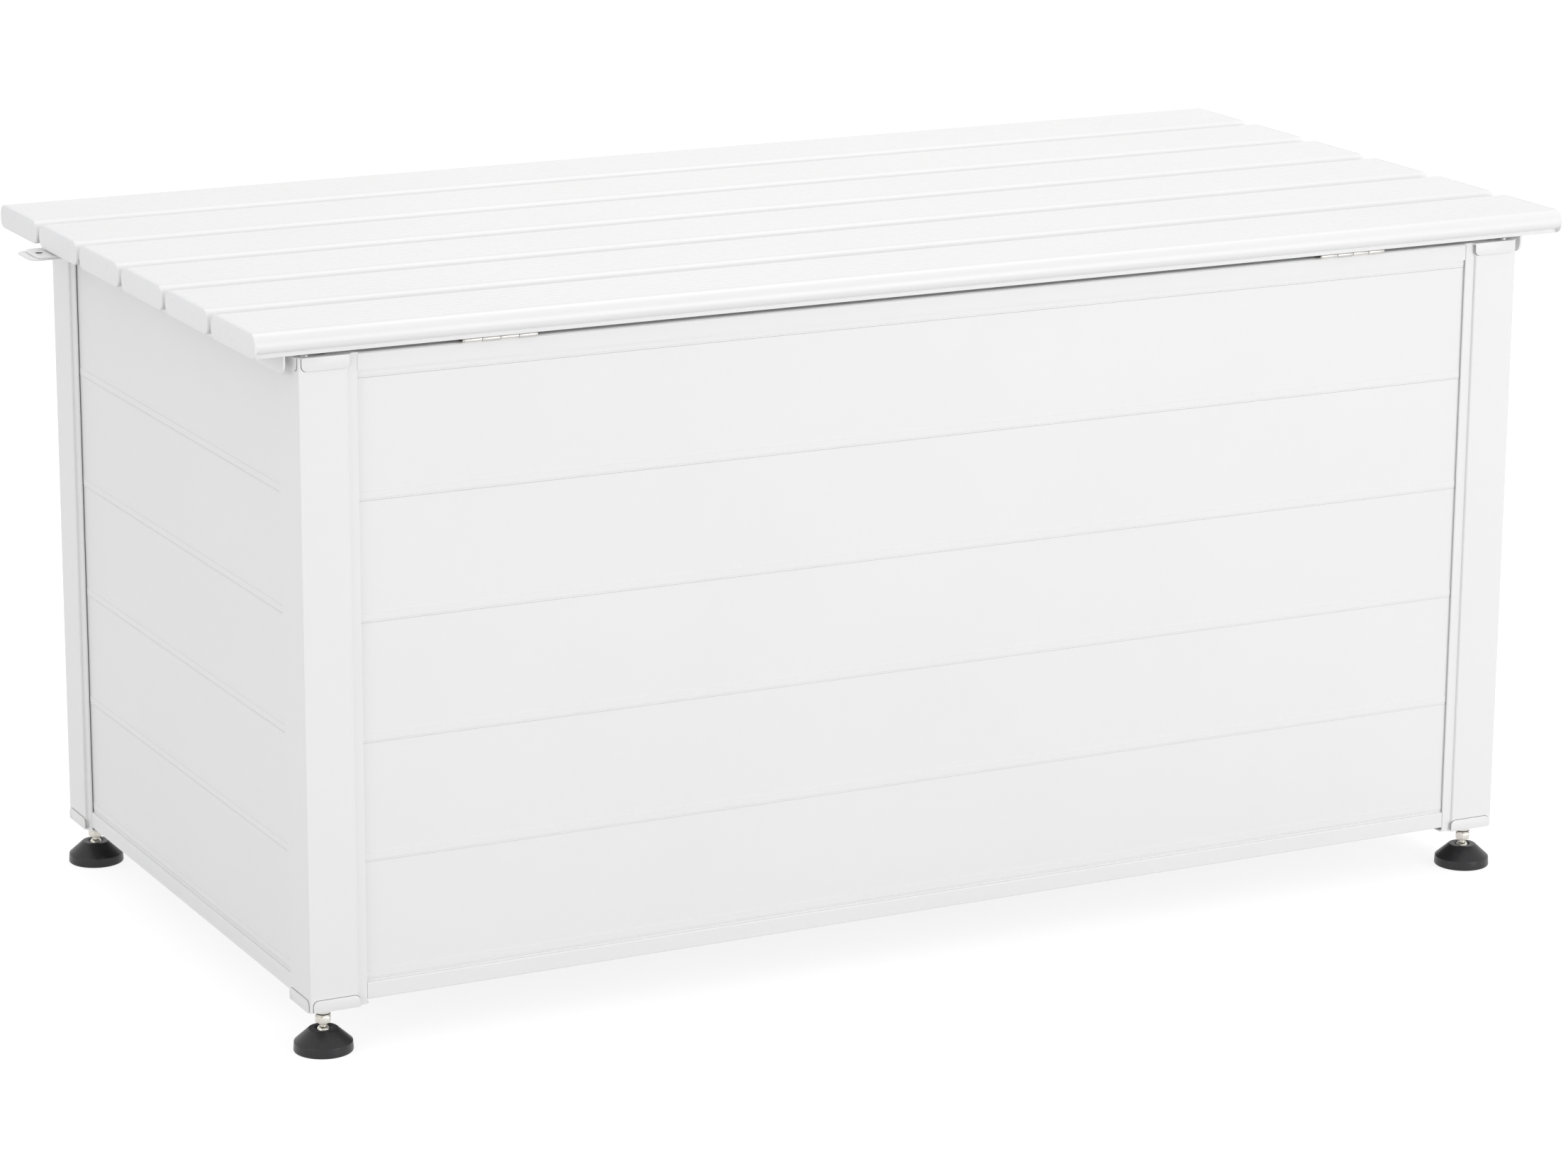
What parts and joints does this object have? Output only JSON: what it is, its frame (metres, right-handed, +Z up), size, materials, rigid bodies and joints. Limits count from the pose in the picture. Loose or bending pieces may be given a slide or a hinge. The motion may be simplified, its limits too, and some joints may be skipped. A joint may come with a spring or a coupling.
{
  "type": "cushion box",
  "caption": "Long garden cushion box of white coated aluminium planks between corner posts, with a hinged lid of reeded slats, a padlock tab and adjustable rubber feet.",
  "frame": {"origin": "middle of the whole object's bounding box, on the ground; the padlock tab on the left end moves it 11.2 mm to -X of the middle of the posts", "axes": "+X along the length, from the end with the padlock tab to the plain end; -Y is the hinge side, +Y the side that opens; +Z up"},
  "size_m": [1.3784, 0.6804, 0.666],
  "materials": {
    "coated_aluminium": "white powder coat, satin",
    "end_cap_plastic": "moulded, fine matt",
    "pad_rubber": "matte",
    "washer_rubber": "matte",
    "bright_nickel": "polished",
    "nickel_plate": "satin",
    "screw_steel": "satin",
    "hinge_steel": "satin",
    "coated_steel": "white powder coat, satin",
    "floor_plastic": "matte"
  },
  "bodies": {
    "box": {"cap_screws": "screw_steel", "end_bottom_rails": "coated_aluminium", "end_top_rails": "coated_aluminium", "floor_bearers": "coated_aluminium", "floor_panel": "floor_plastic", "foot_inserts": "nickel_plate", "foot_nuts": "nickel_plate", "foot_washers": "washer_rubber", "front_bottom_rail": "coated_aluminium", "front_plank_1": "coated_aluminium", "front_plank_2": "coated_aluminium", "front_plank_3": "coated_aluminium", "front_plank_4": "coated_aluminium", "front_plank_5": "coated_aluminium", "front_top_rail": "coated_aluminium", "hasp_plate_box": "coated_steel", "hinge_leaves_box": "hinge_steel", "hinge_pins": "hinge_steel", "left_end_planks": "coated_aluminium", "post_bottom_caps": "coated_aluminium", "post_front_left": "coated_aluminium", "post_front_right": "coated_aluminium", "post_rear_left": "coated_aluminium", "post_rear_right": "coated_aluminium", "post_top_cap_front_left": "coated_aluminium", "post_top_cap_front_right": "coated_aluminium", "post_top_cap_rear_left": "coated_aluminium", "post_top_cap_rear_right": "coated_aluminium", "rear_bottom_rail": "coated_aluminium", "rear_plank_1": "coated_aluminium", "rear_plank_2": "coated_aluminium", "rear_plank_3": "coated_aluminium", "rear_plank_4": "coated_aluminium", "rear_plank_5": "coated_aluminium", "rear_top_rail": "coated_aluminium", "right_end_planks": "coated_aluminium", "small_screws_box": "screw_steel"},
    "lid": {"hasp_plate_lid": "coated_steel", "hinge_leaves_lid": "hinge_steel", "lid_batten_left": "coated_aluminium", "lid_batten_right": "coated_aluminium", "lid_middle_battens": "coated_aluminium", "lid_slat_1": "coated_aluminium", "lid_slat_2": "coated_aluminium", "lid_slat_3": "coated_aluminium", "lid_slat_4": "coated_aluminium", "lid_slat_5": "coated_aluminium", "lid_slat_6": "coated_aluminium", "lid_slat_screws": "screw_steel", "slat_end_caps": "end_cap_plastic", "small_screws_lid": "screw_steel"},
    "stud_rear_left": {"foot_stud_rear_left": "bright_nickel"},
    "pad_rear_left": {"foot_pad_rear_left": "pad_rubber"},
    "stud_rear_right": {"foot_stud_rear_right": "bright_nickel"},
    "pad_rear_right": {"foot_pad_rear_right": "pad_rubber"},
    "stud_front_left": {"foot_stud_front_left": "bright_nickel"},
    "pad_front_left": {"foot_pad_front_left": "pad_rubber"},
    "stud_front_right": {"foot_stud_front_right": "bright_nickel"},
    "pad_front_right": {"foot_pad_front_right": "pad_rubber"}
  },
  "joints": [
    {"name": "lid_hinge", "type": "hinge", "parent": "box", "child": "lid", "pos_m": [0, -0.32705, 0.641], "axis": [1, 0, 0], "range_deg": [0, 98]},
    {"name": "foot_height_rear_left", "type": "slide", "parent": "box", "child": "stud_rear_left", "axis": [0, 0, 1], "range_m": [-0.01, 0.003]},
    {"name": "foot_height_rear_right", "type": "slide", "parent": "box", "child": "stud_rear_right", "axis": [0, 0, 1], "range_m": [-0.01, 0.003]},
    {"name": "foot_height_front_left", "type": "slide", "parent": "box", "child": "stud_front_left", "axis": [0, 0, 1], "range_m": [-0.01, 0.003]},
    {"name": "foot_height_front_right", "type": "slide", "parent": "box", "child": "stud_front_right", "axis": [0, 0, 1], "range_m": [-0.01, 0.003]},
    {"name": "foot_tilt_rear_left", "type": "hinge", "parent": "stud_rear_left", "child": "pad_rear_left", "pos_m": [-0.6029, -0.30735, 0.0175], "axis": [1, 0, 0], "range_deg": [-10, 10]},
    {"name": "foot_tilt_rear_right", "type": "hinge", "parent": "stud_rear_right", "child": "pad_rear_right", "pos_m": [0.6253, -0.30735, 0.0175], "axis": [1, 0, 0], "range_deg": [-10, 10]},
    {"name": "foot_tilt_front_left", "type": "hinge", "parent": "stud_front_left", "child": "pad_front_left", "pos_m": [-0.6029, 0.30085, 0.0175], "axis": [1, 0, 0], "range_deg": [-10, 10]},
    {"name": "foot_tilt_front_right", "type": "hinge", "parent": "stud_front_right", "child": "pad_front_right", "pos_m": [0.6253, 0.30085, 0.0175], "axis": [1, 0, 0], "range_deg": [-10, 10]}
  ]
}
